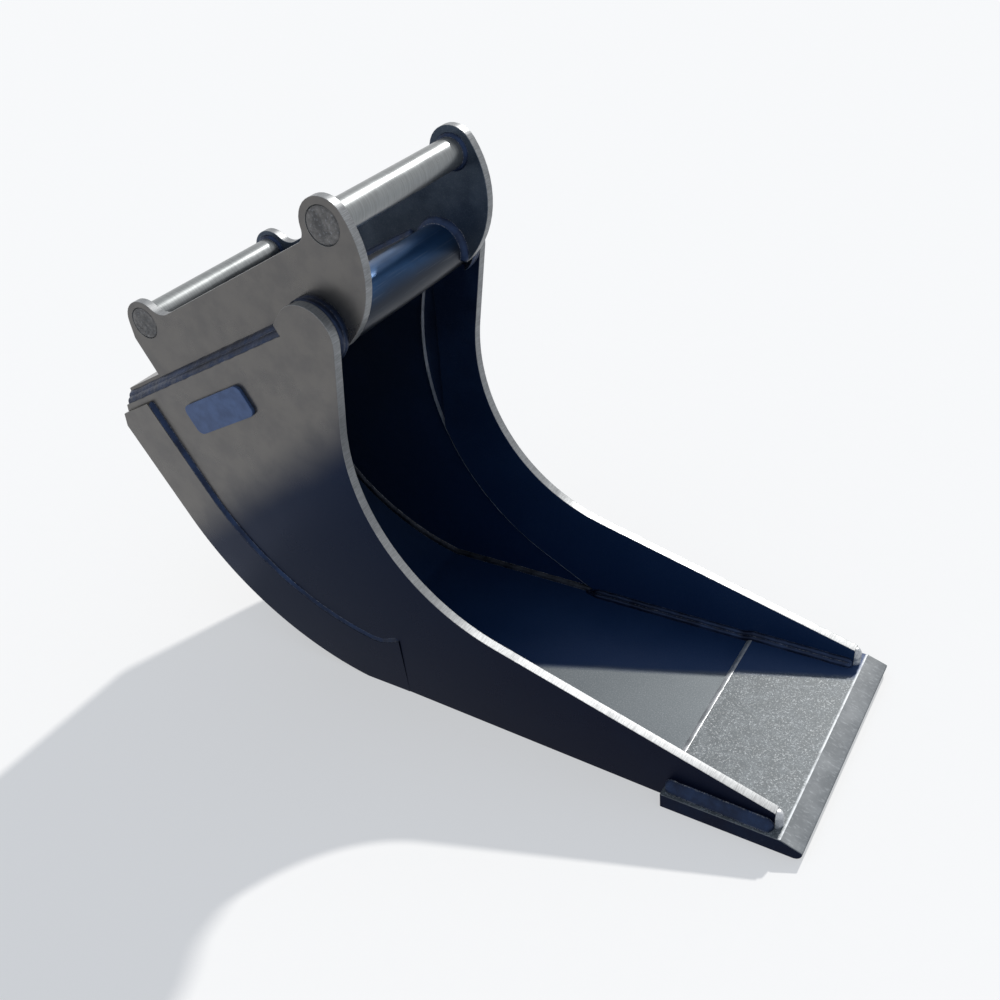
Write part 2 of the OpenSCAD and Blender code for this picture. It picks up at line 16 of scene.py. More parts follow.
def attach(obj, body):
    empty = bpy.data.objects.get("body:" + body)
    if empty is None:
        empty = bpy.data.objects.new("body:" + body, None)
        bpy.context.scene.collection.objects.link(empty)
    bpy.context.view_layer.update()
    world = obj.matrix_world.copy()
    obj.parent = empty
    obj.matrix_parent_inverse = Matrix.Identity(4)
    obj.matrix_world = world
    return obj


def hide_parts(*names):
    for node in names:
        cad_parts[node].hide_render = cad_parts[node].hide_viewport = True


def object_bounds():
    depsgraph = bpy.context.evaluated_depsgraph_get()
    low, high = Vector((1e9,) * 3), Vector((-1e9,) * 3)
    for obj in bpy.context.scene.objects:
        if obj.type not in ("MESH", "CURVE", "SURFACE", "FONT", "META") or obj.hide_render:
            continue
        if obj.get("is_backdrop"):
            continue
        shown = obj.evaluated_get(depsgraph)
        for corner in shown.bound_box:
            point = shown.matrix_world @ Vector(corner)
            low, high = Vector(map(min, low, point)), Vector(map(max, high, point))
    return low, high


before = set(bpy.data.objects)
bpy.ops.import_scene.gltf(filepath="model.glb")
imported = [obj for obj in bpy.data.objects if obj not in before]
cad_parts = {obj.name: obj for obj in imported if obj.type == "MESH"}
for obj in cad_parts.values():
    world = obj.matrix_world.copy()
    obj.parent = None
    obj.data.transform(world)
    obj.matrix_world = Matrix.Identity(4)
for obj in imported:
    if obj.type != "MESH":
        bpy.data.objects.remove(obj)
CAD_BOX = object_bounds()

bl_info = {
    "name": "Cable trenching bucket",
    "version": (1, 0, 0),
    "blender": (4, 5, 0),
    "location": "View3D > Sidebar > Bucket",
    "description": "Dresses the steel plates of a trenching bucket and lays its weld beads",
    "category": "Object",
}

BODY = "root"
SIDES = {"left": 1, "right": -1}
MM = 0.001

# Hitch
PIN_SPACING = 430
PIN_R = 22.5
EAR_GAP = 273
EAR_T = 14
EAR_OUT = EAR_GAP / 2 + EAR_T
EAR_HEEL = 42
PIN_OVER_PLATE = 75
PLATE_T = 20
PLATE_BACK = 560
TUBE_R = 38.05
TUBE_BACK = 98
TUBE_DROP = 111
# Bowl
HITCH_TILT = math.radians(27)
REACH = 657
HEEL_R = 424
HEEL_BACK = 164
HEEL_DROP = 303
HEEL_KINK = math.radians(8.3)
FOLD_DROP = 124
LIP_RUN = 20
SHELL_T = 15
FLOOR_T = 21
# Side plates and side cutters
HALF_GAP = 172.65
FLARE = math.radians(2.18)
FLARE_DIR = math.radians(54.6)
SIDE_T = 8
CUTTER_T = 7
SIDE_OUT = SIDE_T + CUTTER_T
NOSE_R = 47
NECK_ANGLE = math.radians(53.5)
NECK_RUN = 128.5
THROAT_R = 281
NOSE_STEP_BACK = 140
SEAM_R = 400
SEAM_SHIFT_X = 454.3
SEAM_SHIFT_Z = 205.8
SEAM_TOP_BACK = 136
SEAM_FOOT = 186
FRONT_END_H = 27
# Cutting edge
EDGE_T = 25
EDGE_W = 200
EDGE_BACK = REACH - EDGE_W
EDGE_BEVEL = 30
EDGE_BARE = 43
FRONT_END = REACH - EDGE_BARE
# Heel strips
STRIP_T = 8
STRIP_TAIL_T = 1
STRIP_DROP = 105
STRIP_BACK = 502
STRIP_TURN_DROP = 269
STRIP_R = 380
STRIP_SWEEP = math.radians(54)
STRIP_TAIL = 42
# Welds
THIN_LEG = 7
FAT_LEAD = 26
FAT_LEG = 11
SEAM_LEG = 5
EDGE_LEG = 14
STRIP_LEG = 7
FOOT_LEG = 8
BAND_REVEAL = 5
RING_LEG = 9
PIN_RING_LEG = 5
FRONT_PLUG_D = 53
REAR_PLUG_D = 49
PLUG_DEPTH = 4
FLOOR_WELD_RUN = 14
FLOOR_WELD_OVER = 2
FLOOR_WELD_RISE = 1
FRONT_WELD_R = 9
HOOK_TURN = math.radians(-52)
NOSE_TURN = 1.6 * HOOK_TURN
SEAT_OVER = 1
ARC_STEPS = 36
RING_STEPS = 96

PLATE_TOP = -PIN_OVER_PLATE
PLATE_UNDER = PLATE_TOP - PLATE_T
BACK_X = -(HEEL_BACK + HEEL_R)
LIP_X = BACK_X + LIP_RUN
PIN_H = (HEEL_R * math.cos(HEEL_KINK) + HEEL_BACK * math.sin(HITCH_TILT)
         + HEEL_DROP * math.cos(HITCH_TILT))


def vec(x, z):
    """A flat point or direction: forward and up."""
    return Vector((x, z))


def aim(angle):
    """The direction at an angle above forward, in radians."""
    return Vector((math.cos(angle), math.sin(angle)))


def ground(p):
    """A hitch point in ground coordinates."""
    c, s = math.cos(HITCH_TILT), math.sin(HITCH_TILT)
    return vec(p[0] * c - p[1] * s, p[0] * s + p[1] * c + PIN_H)


def arc(centre, r, start, end, steps):
    """Points along a round stretch."""
    return [centre + r * aim(start + (end - start) * i / steps) for i in range(steps + 1)]


def side_y(p, off):
    """Half the bucket's width at a ground point, off outside the side cutters' inner faces."""
    lean = math.cos(FLARE_DIR) * p[0] + math.sin(FLARE_DIR) * (p[1] - PIN_H)
    return HALF_GAP + math.tan(FLARE) * lean + off / math.cos(FLARE)


ORIGIN_X = (ground((BACK_X, -FOLD_DROP)).x + REACH) / 2
TUBE_C = vec(-TUBE_BACK, -TUBE_DROP)
PLATE_FRONT = -TUBE_BACK - math.sqrt(TUBE_R ** 2 - (PLATE_UNDER + TUBE_DROP) ** 2)
PLATE_TURN = math.pi - math.asin((PLATE_TOP + TUBE_DROP) / (TUBE_R + RING_LEG))
HEEL_G = ground((-HEEL_BACK, -HEEL_DROP))

# Borders inside the finishes: where each change begins and ends, in metres
# The outer faces' painted reflection: warm grey above a slanting line stands for the mirrored
# sunlit floor, near black below it for the mirrored shadow of the bucket on the floor.
OUTER_SLOPE = 0.75
OUTER_BORDER = (0.53, 0.645)
OUTER_SHADE = (-0.15, 0.56)
# Inside the bowl: painted shade, black high up and deep blue lower down as a painted sky
# reflection.
BOWL_HEIGHT = (0.06, 0.50)
BOWL_BACK = (-0.50, -0.10)
FLOOR_HEIGHT = (0.024, 0.045)
# The edge of the left side plate's painted shadow across the floor and the cutting edge, with
# painted sunlight on its right.
PAINTED_SHADOW_SLOPE = 0.41
PAINTED_SHADOW_BORDER = (0.074, 0.094)
# The tube's painted reflection: blue sky above a slanting line, grey ground below it.
TUBE_SLOPE = 0.5
TUBE_BORDER = (0.668, 0.708)
CREST_BORDER = (0.004, 0.001)
# Nearly all of a noise's values lie between these
NOISE_RANGE = (0.3, 0.7)
# Beads: runs and ripples in metres, the rest as shares
BEAD_UV = "bead"
SHADER_RIPPLE = 0.0019
WANDER_RUN = 0.018
LIFT_RUN = 0.03
LIFT_SHARE = 0.35
SEED_STEP = 1.7
END_WIDTH = 0.2
STRAND_BASE = 0.45
STRAND_HUMP = 0.75
RIPPLE_BOW = 1.1
# Plug welds: depths in millimetres, places as shares of the radius
PLUG_LUMPS = 0.5
PLUG_WAVES = 0.18
GROOVE_DEPTH = 1.5
GROOVE_AT = 0.55
GROOVE_HALF = 0.10
GROOVE_TURN = 2.2
RIM_DEPTH = 1.8
RIM_FROM = 0.88
PLUG_SEED = 3.1
# Welds on the front ends: shares of the height, then of the radius
END_FULL = 0.6
END_FADE = 0.42
END_THIN = 0.15
END_SWELL = 0.80
END_LUMPS = 0.16
# Which way a face looks: the least part of its normal
SIDEWAYS = 0.9
LEVEL = 0.95
RISING = 0.2
FORWARD = 0.5
# Planes in millimetres, the stage in metres, and rounding
ON_PLANE = 0.3
TAIL_FLUSH = 0.05
FLOOR_Z = -0.0004
FLOOR_PATCHES = 0.985
MERGE_WITHIN = 1e-6
FLAT_WITHIN = math.radians(0.4)
ROUND_FROM = math.radians(35)
PLATE_SHARP = math.radians(60)
BEAD_SHARP = math.radians(50)


def hitch_height(point):
    """How far a point of the model, in metres, is above the pins' line, in millimetres."""
    x, z = point.x / MM + ORIGIN_X, point.z / MM - PIN_H
    return z * math.cos(HITCH_TILT) - x * math.sin(HITCH_TILT)


def place(p, y):
    """A ground point, y across the bucket, as a point of the model in metres."""
    return Vector(((p[0] - ORIGIN_X) * MM, y * MM, p[1] * MM))


def throat_centre():
    """The centre of the side plates' hollow front edge, in ground coordinates."""
    normal = vec(math.sin(NECK_ANGLE), -math.cos(NECK_ANGLE))
    along = vec(-math.cos(NECK_ANGLE), -math.sin(NECK_ANGLE))
    return ground(TUBE_C + NOSE_R * normal + NECK_RUN * along + THROAT_R * normal)


def heel_inside():
    """The inside of the shell, from the floor up to the fold."""
    r = HEEL_R - SHELL_T
    low = math.pi + math.asin((HEEL_G.y - FLOOR_T) / r)
    return arc(HEEL_G, r, low, math.pi + HITCH_TILT, ARC_STEPS)


def fold_inside():
    """The inner corner of the fold at the top of the back."""
    lean = math.atan2(LIP_RUN, FOLD_DROP + PLATE_UNDER)
    return ground((BACK_X + SHELL_T, -FOLD_DROP - SHELL_T * math.tan(lean / 2)))


def seam_curve():
    """The side cutter's foot on the floor, and its rear edge up to where it runs straight."""
    corner = throat_centre() - vec(SEAM_SHIFT_X, SEAM_SHIFT_Z)
    foot = vec(SEAM_FOOT, FLOOR_T)
    top = ground((-SEAM_TOP_BACK, PLATE_UNDER))
    foot_dir, top_dir = (foot - corner).normalized(), (top - corner).normalized()
    turn = math.pi / 2 - math.acos(foot_dir.dot(top_dir)) / 2
    middle = (foot_dir + top_dir).normalized()
    centre = corner + SEAM_R / math.cos(turn) * middle
    angle = math.atan2(-middle.y, -middle.x)
    return foot, arc(centre, SEAM_R, angle + turn, angle - turn, ARC_STEPS)


def strip_curve():
    """The heel strip's front edge in hitch coordinates, from its top to the end of its tail."""
    centre = vec(-STRIP_BACK + STRIP_R, -STRIP_TURN_DROP)
    curve = arc(centre, STRIP_R, math.pi, math.pi + STRIP_SWEEP, ARC_STEPS // 2)
    r = STRIP_TAIL / math.tan((math.pi / 2 - STRIP_SWEEP) / 2) / 2
    tail_c = curve[-1] + r * aim(STRIP_SWEEP)
    tail = arc(tail_c, r, math.pi + STRIP_SWEEP, 3 * math.pi / 2, ARC_STEPS // 3)
    return [vec(-STRIP_BACK, -STRIP_DROP), *curve, *tail[1:], tail[-1] + vec(STRIP_TAIL / 2, 0)]


# Finishes

def add_node(tree, kind, inputs, **settings):
    """A new node with its settings made and its inputs linked or set."""
    node = tree.nodes.new(kind)
    for key, value in settings.items():
        setattr(node, key, value)
    for key, value in inputs.items():
        fill(tree, node.inputs[key], value)
    return node


def fill(tree, socket, value):
    """Links a socket to value, or sets it."""
    if isinstance(value, bpy.types.NodeSocket):
        tree.links.new(value, socket)
    else:
        socket.default_value = value


class Finish:
    """A material under construction: most methods add one node and give its output."""

    def __init__(self, name):
        self.material = bpy.data.materials.new(name)
        self.material.use_nodes = True
        self.tree = self.material.node_tree
        self.shader = self.tree.nodes["Principled BSDF"]
        self.coords = self.node("ShaderNodeTexCoord", {}).outputs["Object"]

    def node(self, kind, inputs, **settings):
        return add_node(self.tree, kind, inputs, **settings)

    def math(self, operation, a, b=0.0):
        return self.node("ShaderNodeMath", {0: a, 1: b}, operation=operation).outputs[0]

    def times(self, a, b):
        return self.math("MULTIPLY", a, b)

    def axis(self, name):
        return self.node("ShaderNodeSeparateXYZ", {0: self.coords}).outputs[name]

    def slanted(self, slope):
        """The height above a line that rises forward at that slope."""
        return self.math("SUBTRACT", self.axis("Z"), self.times(self.axis("X"), slope))

    def painted_sunlight(self):
        """1 in the painted sunlight on the floor, 0 in the painted shadow beside the left side
        plate, where the blue stays.
        """
        line = self.times(self.axis("X"), PAINTED_SHADOW_SLOPE)
        across = self.math("SUBTRACT", line, self.axis("Y"))
        across = self.math("ADD", across, self.times(self.noise(9.0, 3.0), 0.010))
        return self.fade(across, *PAINTED_SHADOW_BORDER)

    def noise(self, scale, detail=3.0, roughness=0.55, stretch=None, distortion=0.0):
        """Noise, finer along an axis with a larger stretch."""
        coords = self.coords
        if stretch is not None:
            coords = self.node("ShaderNodeVectorMath", {0: coords, 1: stretch},
                               operation="MULTIPLY").outputs[0]
        inputs = {"Vector": coords, "Scale": scale, "Detail": detail, "Roughness": roughness,
                  "Distortion": distortion}
        return self.node("ShaderNodeTexNoise", inputs).outputs["Fac"]

    def cells(self, scale):
        inputs = {"Vector": self.coords, "Scale": scale}
        return self.node("ShaderNodeTexVoronoi", inputs).outputs["Distance"]

    def fade(self, value, low, high, to_low=0.0, to_high=1.0):
        """value from low to high, mapped smoothly onto to_low to to_high."""
        inputs = dict(enumerate((value, low, high, to_low, to_high)))
        node = self.node("ShaderNodeMapRange", inputs, interpolation_type="SMOOTHSTEP")
        return node.outputs["Result"]

    def spread(self, value, low=0.0, high=1.0):
        """A noise's value, spread over low to high."""
        return self.fade(value, *NOISE_RANGE, low, high)

    def mix(self, factor, a, b):
        a, b = (c if isinstance(c, bpy.types.NodeSocket) else (*c, 1.0) for c in (a, b))
        return self.node("ShaderNodeMix", {0: factor, 6: a, 7: b}, data_type="RGBA").outputs[2]

    def over(self, base, value, low, high, share, colour):
        """base, covered with a colour where value is high, by no more than share."""
        return self.mix(self.fade(value, low, high, 0.0, share), base, colour)

    def bump(self, height, strength, distance, below=None):
        inputs = {"Strength": strength, "Distance": distance, "Height": height}
        if below is not None:
            inputs["Normal"] = below
        return self.node("ShaderNodeBump", inputs).outputs["Normal"]

    def done(self, colour, roughness, normal=None, metallic=0.0, specular=0.5):
        """Fills in the shader."""
        inputs = {"Base Color": colour, "Roughness": roughness, "Metallic": metallic,
                  "Specular IOR Level": specular}
        if normal is not None:
            inputs["Normal"] = normal
        for key, value in inputs.items():
            fill(self.tree, self.shader.inputs[key], value)


def outer_scale(f, colours):
    """Smooth mill scale outside, with a painted reflection: warm grey high up for the mirrored
    sunlit floor, near black below a slanting line for the mirrored shadow of the bucket.
    """
    waver = f.times(f.noise(5, 2), 0.05)
    height = f.math("ADD", f.slanted(OUTER_SLOPE), waver)
    # Painted reflection: near black below the slanting line, warm grey above it.
    base = f.mix(f.fade(height, *OUTER_SHADE), colours.outer_low, colours.outer_middle)
    base = f.mix(f.fade(height, *OUTER_BORDER), base, colours.outer_high)
    base = f.over(base, f.noise(26, 5, 0.6), 0.35, 0.7, 0.16, colours.outer_middle)
    grain = f.noise(900, 2)
    base = f.over(base, grain, 0.35, 0.7, 0.025, colours.outer_high)
    rough = f.spread(f.noise(16, 4), 0.24, 0.32)
    rough = f.math("ADD", rough, f.times(grain, 0.05))
    normal = f.bump(grain, 0.06, 0.0003)
    f.done(base, rough, f.bump(f.noise(14, 2), 0.03, 0.002, normal), 0.85, 0.05)


def bowl_scale(f, colours):
    """Scale in the bowl with painted light: painted shade, black high up and deep blue lower down
    as a painted sky reflection, and grey where painted sunlight falls on the floor.
    """
    x, z = f.axis("X"), f.axis("Z")
    # Painted shade: black high up, deep blue lower down.
    base = f.mix(f.fade(z, *BOWL_HEIGHT), colours.bowl_blue, colours.bowl_dark)
    base = f.mix(f.fade(x, *BOWL_BACK, 0.55, 0), base, colours.bowl_grey)
    cloud = f.noise(11, 5, 0.6)
    base = f.over(base, cloud, 0.4, 0.75, 0.35, colours.bowl_blue)
    # Painted sunlight on the floor, grey beside the painted shadow of the left side plate.
    painted_sunlight = f.times(f.painted_sunlight(), f.fade(z, *FLOOR_HEIGHT, 1, 0))
    base = f.mix(painted_sunlight, base, colours.floor_grey)
    speck = f.noise(520, 5, 0.75)
    # The pale specks are wear, but most of them lie in the painted sunlight.
    wear_and_sunlight = f.fade(painted_sunlight, 0, 1, 0.12, 1)
    worn = f.times(f.fade(speck, 0.45, 0.7, 0, 0.35), wear_and_sunlight)
    base = f.mix(worn, base, colours.pale_steel)
    f.done(base, f.spread(cloud, 0.38, 0.5), f.bump(speck, 0.12, 0.0004), 0.25, 0.2)


def hitch_scale(f, colours):
    """The ears' inner faces: dark blue-grey scale."""
    cloud = f.noise(14, 5, 0.6)
    base = f.mix(f.fade(cloud, 0.35, 0.7), colours.hitch_dark, colours.hitch_light)
    grain = f.noise(700, 3)
    base = f.over(base, grain, 0.5, 0.75, 0.15, colours.pale_steel)
    f.done(base, f.spread(cloud, 0.32, 0.42), f.bump(grain, 0.08, 0.0003), 0.6, 0.3)


def cut_edge(f, colours):
    """Flame-cut plate edges: bright steel with fine lines across the plate's thickness."""
    lines = f.noise(1100, 2, 0.6, (1, 0.05, 1))
    coarse = f.noise(90, 3, 0.6, (1, 0.4, 1))
    base = f.mix(f.spread(lines), colours.cut_dark, colours.cut_bright)
    base = f.over(base, coarse, 0.5, 0.75, 0.4, colours.cut_dark)
    f.done(base, f.spread(coarse, 0.34, 0.46), f.bump(lines, 0.12, 0.0004), 0.6, 0.4)


def tube_blue(f, colours):
    """Drawn tube with a painted reflection, blue from the sky on top and grey from the ground
    underneath, and faint lengthwise marks.
    """
    along = f.noise(220, 3, 0.6, (1, 0.03, 1))
    cloud = f.noise(12, 4, 0.6)
    height = f.slanted(TUBE_SLOPE)
    # Painted reflection: blue above the slanting line, grey below it.
    base = f.mix(f.fade(height, *TUBE_BORDER), colours.tube_low, colours.tube_high)
    base = f.over(base, cloud, 0.4, 0.75, 0.35, colours.tube_low)
    base = f.over(base, along, 0.55, 0.8, 0.12, colours.pale_steel)
    f.done(base, f.spread(cloud, 0.3, 0.4), f.bump(along, 0.04, 0.0004), 0.7, 0.3)


def tag_blue(f, colours):
    """The blank tag: smooth steel with a blue heat tint."""
    cloud = f.noise(40, 4, 0.6)
    base = f.mix(f.spread(cloud), colours.tag_dark, colours.tag_light)
    f.done(base, f.spread(cloud, 0.34, 0.44), f.bump(f.noise(600, 3), 0.08, 0.0003), 0.5, 0.3)


def bead_finish(f, colours, dark, light, toes, pale, metallic):
    """Weld metal with fine crescent ripples; pale is how much of the toes is speckled."""
    uv = f.node("ShaderNodeUVMap", {}, uv_map=BEAD_UV).outputs[0]
    split = f.node("ShaderNodeSeparateXYZ", {0: uv})
    run, across = split.outputs["X"], split.outputs["Y"]
    off_centre = f.math("SUBTRACT", across, 0.5)
    bow = f.times(f.times(off_centre, off_centre), 0.010)
    wobble = f.times(f.noise(90, 2), 0.0025)
    phase = f.math("ADD", f.math("ADD", run, bow), wobble)
    ripple = f.math("SINE", f.times(phase, 2 * math.pi / SHADER_RIPPLE))
    toe = f.fade(f.math("ABSOLUTE", off_centre), 0.36, 0.5, 0, pale)
    speck = f.noise(560, 4, 0.7)
    patches = f.noise(28, 4, 0.65)
    base = f.mix(f.fade(patches, 0.3, 0.75), getattr(colours, dark), getattr(colours, light))
    base = f.mix(f.times(toe, f.fade(speck, 0.45, 0.62)), base, getattr(colours, toes))
    normal = f.bump(ripple, 0.35, 0.0003)
    f.done(base, f.spread(patches, 0.3, 0.42), f.bump(speck, 0.2, 0.0004, normal), metallic, 0.3)


def plug_face(f, colours):
    """The faces of the plug welds: grey, lightly pitted weld metal."""
    speck = f.noise(260, 4, 0.7)
    cloud = f.noise(70, 3, 0.6)
    base = f.mix(f.fade(cloud, 0.35, 0.7), colours.plug_dark, colours.plug_light)
    base = f.over(base, speck, 0.5, 0.75, 0.5, colours.pale_steel)
    f.done(base, 0.42, f.bump(speck, 0.35, 0.0008), 0.5)


def turned_pin(f, colours):
    """Bright turned bar."""
    rings = f.noise(520, 3, 0.6, (0.06, 1, 0.06))
    base = f.mix(f.spread(rings), colours.pin_low, colours.pin_high)
    smear = f.noise(30, 4, 0.6, (1, 0.3, 1))
    base = f.over(base, smear, 0.5, 0.8, 0.3, colours.pin_low)
    f.done(base, f.spread(smear, 0.26, 0.36), f.bump(rings, 0.02, 0.0003), 0.9)


def worn_top(f, colours):
    """The cutting edge's top: rough, speckled and scratched steel, deep blue in the painted shadow
    of the left side plate.
    """
    speck = f.noise(420, 6, 0.8)
    coarse = f.noise(38, 5, 0.7)
    base = f.mix(f.fade(coarse, 0.35, 0.7), colours.edge_dark, colours.edge_light)
    base = f.over(base, speck, 0.52, 0.64, 0.9, colours.edge_speck)
    base = f.mix(f.fade(f.cells(170), 0, 0.2, 0.35, 0), base, colours.edge_dark)
    directions = ((70, (5, 0.35, 1)), (60, (0.5, 6, 1)), (48, (3, 2, 1)))
    for scale, stretch in directions:
        scratch = f.noise(scale, 3, 0.6, stretch, 1.2)
        line = f.math("ABSOLUTE", f.math("SUBTRACT", scratch, 0.5))
        mark = f.times(f.fade(line, 0, 0.006, 0.5, 0), f.fade(coarse, 0.45, 0.6))
        base = f.mix(mark, base, colours.edge_speck)
    # Painted shadow of the left side plate, in the bowl's deep blue.
    base = f.mix(f.painted_sunlight(), colours.bowl_blue, base)
    crest = (REACH - EDGE_BEVEL - ORIGIN_X) * MM
    crest = f.fade(f.axis("X"), *(crest - back for back in CREST_BORDER))
    worn = f.times(crest, f.fade(coarse, 0.35, 0.6, 0.35, 1))
    base = f.mix(worn, base, colours.edge_crest)
    f.done(base, f.spread(coarse, 0.5, 0.6), f.bump(speck, 0.35, 0.0007), 0.15, 0.3)


def bevel_steel(f, colours):
    """The ground bevel of the cutting edge."""
    lines = f.noise(260, 3, 0.6, (0.5, 1, 0.5))
    cloud = f.noise(20, 4, 0.6)
    base = f.mix(f.fade(cloud, 0.35, 0.7), colours.bevel_dark, colours.bevel_light)
    base = f.over(base, lines, 0.5, 0.75, 0.25, colours.edge_speck)
    f.done(base, 0.6, f.bump(lines, 0.10, 0.0004), 0.15, 0.25)


def edge_side(f, colours):
    """The cutting edge's sides and underside: dark blue-grey scale."""
    cloud = f.noise(24, 5, 0.6)
    # The outer faces' low colours: dark scale whose darkness is partly painted shade.
    base = f.mix(f.fade(cloud, 0.35, 0.7), colours.outer_low, colours.outer_middle)
    base = f.over(base, f.noise(300, 4, 0.7), 0.6, 0.78, 0.12, colours.pale_steel)
    f.done(base, 0.4, f.bump(f.noise(350, 4), 0.15, 0.0005), 0.8, 0.1)


FINISHES = (outer_scale, bowl_scale, hitch_scale, cut_edge, tube_blue, tag_blue, plug_face,
            turned_pin, worn_top, bevel_steel, edge_side)
# Each bead's dark, light and toe colours, the share of its toes that is speckled, and metallic
BEAD_FINISHES = {
    "weld_bead": ("weld_dark", "weld_blue", "pale_steel", 0.55, 0.7),
    "grey_bead": ("grey_bead_dark", "grey_bead_light", "pale_steel", 0.8, 0.7),
    "bright_bead": ("silver_dark", "silver", "silver", 1.0, 0.4),
    "seam_bead": ("seam_dark", "seam_light", "seam_light", 0.6, 0.1),
}


def finish(name):
    """The finish of that name, made once."""
    if name not in bpy.data.materials:
        f, colours = Finish(name), bpy.context.scene.bucket_colours
        if name in BEAD_FINISHES:
            bead_finish(f, colours, *BEAD_FINISHES[name])
        else:
            next(maker for maker in FINISHES if maker.__name__ == name)(f, colours)
    return bpy.data.materials[name]


# Pieces

def add_object(name, data):
    """A new object in the scene."""
    obj = bpy.data.objects.new(name, data)
    bpy.context.scene.collection.objects.link(obj)
    return obj


def piece(name, mesh, finishes, node):
    """Links a finished mesh as one piece of the bucket, in place of a CAD node."""
    for each in finishes:
        mesh.materials.append(finish(each))
    obj = add_object(name, mesh)
    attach(obj, BODY)
    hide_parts(node)


def dress(base, choose, sharp=lambda a, b: False, reshape=None, side=""):
    """A copy of a CAD node with rounded edges, whose faces take the finish that choose names.

    An edge from a to b stays unrounded where sharp says so, and reshape moves points before that.
    """
    node, name = base + side, f"{base}_steel{side}"
    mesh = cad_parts[node].data.copy()
    mesh.materials.clear()
    shape = bmesh.new()
    shape.from_mesh(mesh)
    bmesh.ops.remove_doubles(shape, verts=shape.verts, dist=MERGE_WITHIN)
    bmesh.ops.dissolve_limit(shape, angle_limit=FLAT_WITHIN, verts=shape.verts, edges=shape.edges)
    if reshape is not None:
        for point in shape.verts:
            reshape(point.co)
    rounding = shape.edges.layers.float.new("bevel_weight_edge")
    for edge in shape.edges:
        corner = edge.calc_face_angle(0) > ROUND_FROM
        edge[rounding] = 1.0 if corner and not sharp(*(v.co for v in edge.verts)) else 0.0
    shape.to_mesh(mesh)
    shape.free()
    obj = add_object(name, mesh)
    bevel = obj.modifiers.new("round", "BEVEL")
    bevel.width = bpy.context.scene.bucket_sizes.edge_round
    bevel.segments = 2
    bevel.limit_method = "WEIGHT"
    bevel.use_clamp_overlap = True
    obj.modifiers.new("weight", "WEIGHTED_NORMAL").keep_sharp = True
    mesh.shade_smooth()
    mesh.set_sharp_from_angle(angle=PLATE_SHARP)
    bpy.context.view_layer.update()
    shaped = obj.evaluated_get(bpy.context.evaluated_depsgraph_get())
    final = bpy.data.meshes.new_from_object(shaped)
    bpy.data.objects.remove(obj)
    final.name = name
    chosen = [choose(face.normal, face.center) for face in final.polygons]
    finishes = sorted(set(chosen))
    for face, each in zip(final.polygons, chosen):
        face.material_index = finishes.index(each)
    piece(name, final, finishes, node)


def plain(name):
    """A choice of the same finish for every face."""
    return lambda normal, centre: name


def resample(stations, step, closed):
    """Stations at even distances along a path of (root, toe, toe) triples."""
    if closed:
        stations = stations + stations[:1]
    middles = [(a + b + c) / 3 for a, b, c in stations]
    lengths = [0.0]
    for i in range(1, len(middles)):
        lengths.append(lengths[-1] + (middles[i] - middles[i - 1]).length)
    count = max(3, round(lengths[-1] / step))
    out = []
    i = 0
    for n in range(count + (0 if closed else 1)):
        s = lengths[-1] * n / count
        while i < len(lengths) - 2 and lengths[i + 1] < s:
            i += 1
        t = (s - lengths[i]) / (lengths[i + 1] - lengths[i])
        out.append((s, [stations[i][k].lerp(stations[i + 1][k], t) for k in range(3)]))
    return lengths[-1], out


def bead_rows(stations, closed, seed, runs=1, taper=0.0, crown=0.14):
    """The cross-sections of one bead: each is the root and the crown's points, with their UVs.

    Runs are strands side by side, taper is how far from its ends a bead narrows, in metres, and
    crown is its height as a share of its width.
    """
    look = bpy.context.scene.bucket_sizes
    length, spaced = resample(stations, look.bead_step, closed)
    rows = []
    for s, (root, toe_a, toe_b) in spaced:
        wander_a, wander_b = (look.bead_wander * noise.noise(Vector((s / WANDER_RUN, seed, z)))
                              for z in (0.0, 7.0))
        lift = noise.noise(Vector((s / LIFT_RUN, seed, 3.0)))
        end = 1.0
        if taper:
            end = min(1.0, max(0.0, min(s, length - s) / taper))
            end = math.sqrt(max(0.0, 1 - (1 - end) ** 2)) * (1 - END_WIDTH) + END_WIDTH
        a = root.lerp(toe_a, end * (1 + wander_a))
        b = root.lerp(toe_b, end * (1 + wander_b))
        out = ((a + b) / 2 - root).normalized()
        height = crown * (b - a).length * (1 + LIFT_SHARE * lift)
        row = [(root, (s, 0.0))]
        for k in range(look.bead_points + 1):
            t = k / look.bead_points
            hump = 4 * t * (1 - t)
            if runs > 1:
                hump = STRAND_BASE * hump + STRAND_HUMP * abs(math.sin(runs * math.pi * t))
            local = (runs * t) % 1.0
            phase = s / look.ripple_pitch + RIPPLE_BOW * (local - 0.5) ** 2
            ripple = look.ripple_height * math.sin(2 * math.pi * phase)
            ripple *= min(1.0, 10 * t * (1 - t))
            point = a.lerp(b, t) + out * (height * hump + ripple)
            row.append((point, (s, local if runs > 1 else t)))
        rows.append(row)
    return rows


def finished(shape, name):
    """The mesh of a built shape, with sharp corners between its smooth faces."""
    bmesh.ops.recalc_face_normals(shape, faces=shape.faces)
    mesh = bpy.data.meshes.new(name)
    shape.to_mesh(mesh)
    shape.free()
    mesh.set_sharp_from_angle(angle=BEAD_SHARP)
    return mesh


